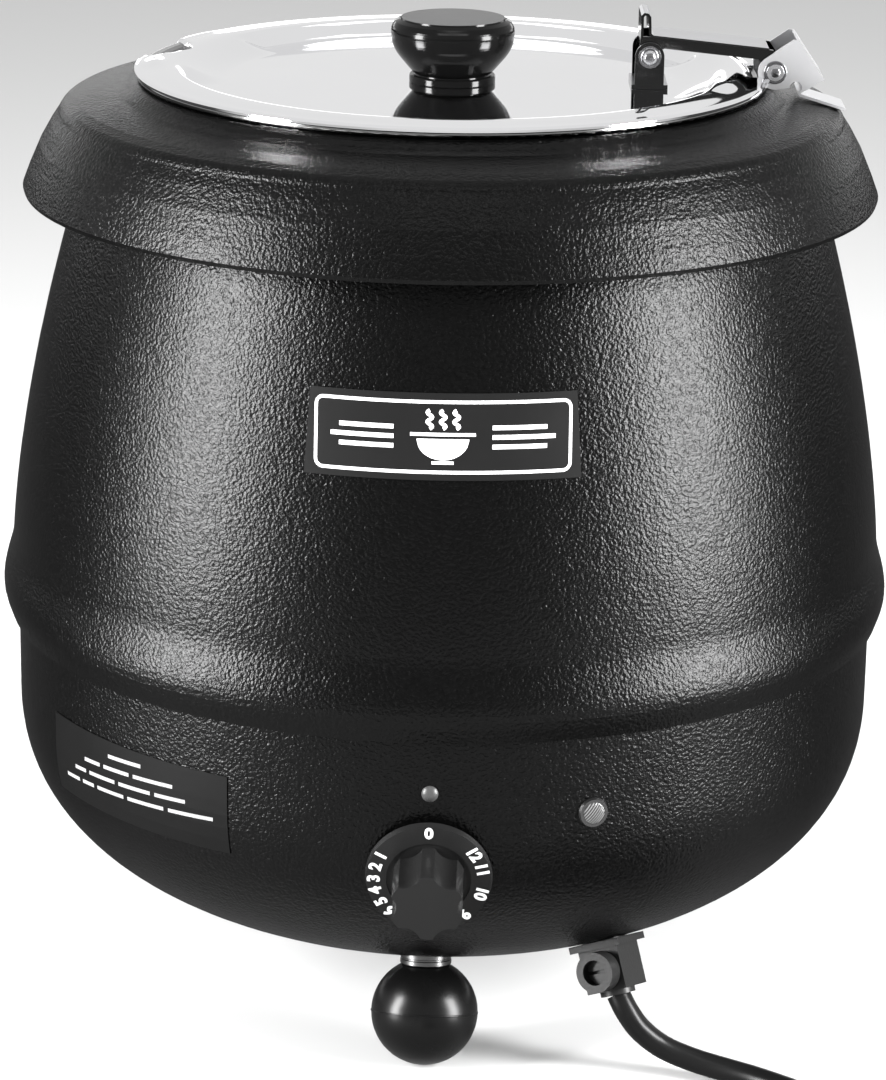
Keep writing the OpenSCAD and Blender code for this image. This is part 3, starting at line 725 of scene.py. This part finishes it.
# %% [markdown]
# ## The dial's figures
# The figures are printed round the skirt with their tops outward, 0 at the top when the kettle is
# off, and they turn with the dial. Blender's own font is a plain sans that suits them. Each figure
# is made as text, thickened a little to look bold, turned into a mesh and laid on the skirt.

# %% Figures on the dial
DIAL_TURN, DIAL_Z, DIAL_TILT = -1.4, 101, 12
DIAL_FACE = 3.6
FIGURE_R = 19.2
dial_frame = (
    Matrix.Translation(AXIS) @ Matrix.Rotation(math.radians(DIAL_TURN), 4, "Z")
    @ Matrix.Translation(Vector((0, -bowl_radius(DIAL_Z), DIAL_Z)) * MM)
    @ Matrix.Rotation(math.radians(90 + DIAL_TILT), 4, "X") @ Matrix.Scale(MM, 4)
)
FIGURES = {
    "0": 0, "1": 60, "2": 75, "3": 90, "4": 105, "5": 120, "6": 135, "7": 163, "8": 192, "9": 222,
    "10": 254, "11": 284, "12": 305,
}
for text, turn in FIGURES.items():
    font = bpy.data.curves.new("figure_" + text, "FONT")
    font.body = text
    font.size = 6.0
    font.offset = 0.24
    font.extrude = 0.05
    font.space_character = 0.92
    font.align_x, font.align_y = "CENTER", "CENTER"
    font.resolution_u = 4
    flat = bpy.data.objects.new("flat_" + text, font)
    figure_mesh = bpy.data.meshes.new_from_object(flat)
    bpy.data.objects.remove(flat)
    out_from_middle = Matrix.Translation((0, FIGURE_R, DIAL_FACE + 0.04))
    figure_mesh.transform(dial_frame @ Matrix.Rotation(math.radians(turn), 4, "Z") @ out_from_middle)
    figure_mesh.materials.append(white_ink)
    figure = bpy.data.objects.new("dial_figure_" + text, figure_mesh)
    bpy.context.scene.collection.objects.link(figure)
    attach(figure, "thermostat_dial")
print("figures on the dial:", len(FIGURES))

# %% [markdown]
# ## The lamp's lens
# The pilot lamp looks out through a small clear dome with ribs moulded across it, which spread the
# neon's glow. The ribs are real waves in the mesh, and the finish paints their valleys darker than
# their crests, as painted shade.

# %% The ribbed lens
LAMP_TURN, LAMP_Z = 19, 122.5
LENS_R, LENS_SPHERE, LENS_DROP = 3.98, 8.4, 6.2
RIB_PITCH = 0.86
RIB_LEAN = math.radians(52)
lamp_frame = (
    Matrix.Translation(AXIS) @ Matrix.Rotation(math.radians(LAMP_TURN), 4, "Z")
    @ Matrix.Translation(Vector((0, -bowl_radius(LAMP_Z), LAMP_Z)) * MM)
    @ Matrix.Rotation(math.radians(90), 4, "X") @ Matrix.Scale(MM, 4)
)
LENS_RINGS, LENS_SPOKES = 26, 96
lens_top, lens_under = [], []
for i in range(LENS_RINGS):
    radius = LENS_R * (i + 0.02) / (LENS_RINGS - 1 + 0.02)
    for k in range(LENS_SPOKES):
        a = math.tau * k / LENS_SPOKES
        x, y = radius * math.cos(a), radius * math.sin(a)
        across = y * math.cos(RIB_LEAN) - x * math.sin(RIB_LEAN)
        rib = 0.1 * math.cos(math.tau * across / RIB_PITCH) * ease((LENS_R - radius) / 0.5)
        dome = math.sqrt(LENS_SPHERE**2 - radius**2) - LENS_DROP
        lens_top.append(lamp_frame @ Vector((x, y, dome + rib)))
        lens_under.append(lamp_frame @ Vector((x, y, -5.8)))
lens_finish = Finish("ribbed_lens")
rib_line = lamp_frame.to_3x3().normalized() @ Vector((-math.sin(RIB_LEAN), math.cos(RIB_LEAN), 0))
lamp_middle = lamp_frame @ Vector((0, 0, 0))
along_ribs = {0: lens_finish.here(), 1: tuple(rib_line)}
offset = lens_finish.add("ShaderNodeVectorMath", {"operation": "DOT_PRODUCT"}, along_ribs, out=1)
phase = (offset - lamp_middle.dot(rib_line)) * (math.tau / (RIB_PITCH * MM))
# 1 on the ribs' crests and 0 in their valleys; the valleys get the darker colour as painted shade.
rib_shade_mask = phase.math("COSINE", phase) * 0.5 + 0.5
lens_finish.set(
    Base_Color=lens_finish.blend(rib_shade_mask, (0.006, 0.006, 0.006), (0.085, 0.085, 0.085)),
    Roughness=0.16,
    Specular_IOR_Level=0.12,
)
points, faces = solid_grid(LENS_RINGS, LENS_SPOKES, lens_top, lens_under, True)
piece("ribbed_lens", "kettle_base", lens_finish.material, points, faces, ["lamp_lens"])

# %% [markdown]
# ## Foot collars
# Each ball hangs from a short collar that leans in towards the middle, square to the belly of the
# bowl above it. The frame's collars are upright tubes; these are turned with a small groove.

# %% Leaning collars
FOOT_TURNS = (-92.9, 27.1, 147.1)
FOOT_OUT, BALL_Z = 100, 19.6
COLLAR_LEAN = math.radians(13)
COLLAR_PROFILE = [(3.1, 18.2), (9.2, 18.2), (9.6, 18.6), (9.6, 20.0), (9.3, 20.3), (9.3, 20.7), (9.6, 21.0),
                  (9.6, 24.2), (3.1, 24.2)]
points, faces = [], []
SPOKES = 64
for turn in FOOT_TURNS:
    a = math.radians(turn)
    outward = Vector((math.cos(a), math.sin(a), 0))
    sideways = Vector((-math.sin(a), math.cos(a), 0))
    axis = Vector((0, 0, 1)) * math.cos(COLLAR_LEAN) - outward * math.sin(COLLAR_LEAN)
    square = sideways.cross(axis)
    start, rings_here = len(points), len(COLLAR_PROFILE)
    for radius, up in COLLAR_PROFILE:
        for k in range(SPOKES):
            b = math.tau * k / SPOKES
            spot = outward * FOOT_OUT + Vector((0, 0, BALL_Z)) + axis * up
            points.append(place(*(spot + sideways * radius * math.cos(b) + square * radius * math.sin(b))))
    for i in range(rings_here):
        j = (i + 1) % rings_here
        for k in range(SPOKES):
            m = (k + 1) % SPOKES
            low, high = start + i * SPOKES, start + j * SPOKES
            faces.append([low + k, high + k, high + m, low + m])
collar_steel = steel("foot_collar_steel", (0.10, 0.10, 0.10), 0.22, 0.00001)
piece("leaning_foot_collars", "kettle_base", collar_steel, points, faces, ["foot_collars"])

# %% [markdown]
# ## Rivet heads
# Each hinge pin ends in a peened head inside a coined ring. They are small, but they show where the
# hinge turns.

# %% Turned heads on the two pins
def heads(name, body, x, z, out, material):
    profile = [(0, 1.0), (0.9, 0.95), (1.7, 0.7), (2.2, 0.3), (2.35, -0.1), (2.9, -0.12), (3.2, 0.12),
               (3.7, 0.3), (4.1, 0.22), (4.3, -0.05), (4.3, -0.4), (0, -0.4)]
    points, faces = [], []
    steps = 48
    for side in (-1, 1):
        start = len(points)
        for radius, w in profile:
            for k in range(steps):
                a = math.tau * k / steps
                points.append(place(x + radius * math.cos(a), side * (out + w), z + radius * math.sin(a)))
        for i in range(len(profile) - 1):
            for k in range(steps):
                a, b = start + i * steps, start + (i + 1) * steps
                faces.append([a + k, b + k, b + (k + 1) % steps, a + (k + 1) % steps])
    return piece(name, body, material, points, faces)


head_steel = steel("peened_steel", (0.16, 0.16, 0.165), 0.22, 0.00001)
heads("arm_rivet_heads", "lid", 72.9, 365.2, 12.3, head_steel)
heads("clip_rivet_heads", "soup_pot", 119.4, 360.3, 12.75, head_steel)

# %% [markdown]
# ## Floor, backdrop and light
# A catalogue picture of something black is made by what it reflects. Two tall soft boxes, one each
# side and well round from the camera, leave a broad soft streak down each side of the body and a
# dark band between them. A weak box overhead lifts the tops, and a long narrow one, high in front,
# draws the line of light along the collar's crest.
#
# The sky isn't one brightness. The camera sees plain white, and matt surfaces are lit by a sky a
# little brighter than that. Mirrors see a dimmer one above the horizon and almost nothing below, with
# a bright band low at the back that the lid picks up. The floor is pale, but turns dark behind the
# kettle for reflections alone. These two are stage tricks set for the main view: a real room has
# neither, and a kettle moved into another scene will look darker than it does here.

# %% The floor
def stage_plane(name, size, material):
    data = bpy.data.meshes.new(name)
    half = size / 2
    corners = [(-half, -half, 0), (half, -half, 0), (half, half, 0), (-half, half, 0)]
    data.from_pydata(corners, [], [(0, 1, 2, 3)])
    data.materials.append(material)
    plane = bpy.data.objects.new(name, data)
    bpy.context.scene.collection.objects.link(plane)
    return plane


FLOOR_SIZE = 14
FLOOR_DROP = 0.0003
FLOOR_GREY = (0.36, 0.36, 0.36)
FLOOR_DARK = (0.03, 0.03, 0.03)
DARK_FROM_Y = -0.3

paper = Finish("pale_paper")
along = paper.add("ShaderNodeSeparateXYZ", values={"Vector": paper.here()}, out=1)
seen_by_mirrors = paper.add("ShaderNodeLightPath", out=3)
far_half = ((along - DARK_FROM_Y) * 3).clamp() * seen_by_mirrors
paper.set(Base_Color=paper.blend(far_half, FLOOR_GREY, FLOOR_DARK), Roughness=0.9, Specular_IOR_Level=0.1)
floor = stage_plane("floor", FLOOR_SIZE, paper.material)
floor.location.z = -FLOOR_DROP

# %% The lights
def soft_box(name, turn, distance, high, size, watts, aim_high):
    """An area light so far round from the front, out and up, aimed at a height on the axis.

    The distances are in millimetres and the size, width by height, is in metres.
    """
    data = bpy.data.lights.new(name, "AREA")
    data.shape = "RECTANGLE"
    data.size, data.size_y = size
    data.energy = watts
    light = bpy.data.objects.new(name, data)
    light.location = around(turn, distance, high)
    toward = place(0, 0, aim_high) - light.location
    light.rotation_euler = toward.to_track_quat("-Z", "Y").to_euler()
    bpy.context.scene.collection.objects.link(light)
    return light


soft_box("left_box", turn=-65, distance=1500, high=470, size=(0.42, 1.2), watts=190, aim_high=230)
soft_box("right_box", turn=65, distance=1500, high=470, size=(0.46, 1.2), watts=190, aim_high=230)
soft_box("over_box", turn=180, distance=60, high=2200, size=(2.4, 0.8), watts=8, aim_high=200)
soft_box("crest_box", turn=0, distance=1250, high=1900, size=(1.7, 0.22), watts=9, aim_high=330)

# %% The sky
CAMERA_SKY = 1.0
MATT_SKY = 1.2
MIRROR_SKY, MIRROR_GROUND = 0.84, 0.02
BAND_LOW, BAND_HIGH, BAND_BRIGHT = 0.01, 0.125, 2.2
BAND_BACK = 0.45

world = bpy.data.worlds.new("studio")
world.use_nodes = True
bpy.context.scene.world = world
sky = Nodes(world.node_tree)
background = next(n for n in sky.tree.nodes if n.type == "BACKGROUND")
toward = sky.add("ShaderNodeTexCoord", out=0)
back, up = (sky.add("ShaderNodeSeparateXYZ", values={"Vector": toward}, out=n) for n in (1, 2))
is_camera, is_diffuse, is_glossy = (sky.add("ShaderNodeLightPath", out=n) for n in (0, 2, 3))
in_band = ((up - BAND_LOW) * 25).clamp() * ((BAND_HIGH - up) * 25).clamp()
low_band = in_band * ((back - BAND_BACK) * 4).clamp()
glossy_sky = ((up + 0.02) * 20).clamp() * MIRROR_SKY + low_band * BAND_BRIGHT + MIRROR_GROUND
strength = is_camera * CAMERA_SKY + is_diffuse * MATT_SKY + is_glossy * glossy_sky
sky.feed(background.inputs["Color"], (1, 1, 1))
sky.feed(background.inputs["Strength"], strength)
bpy.context.scene.view_settings.view_transform = "Standard"
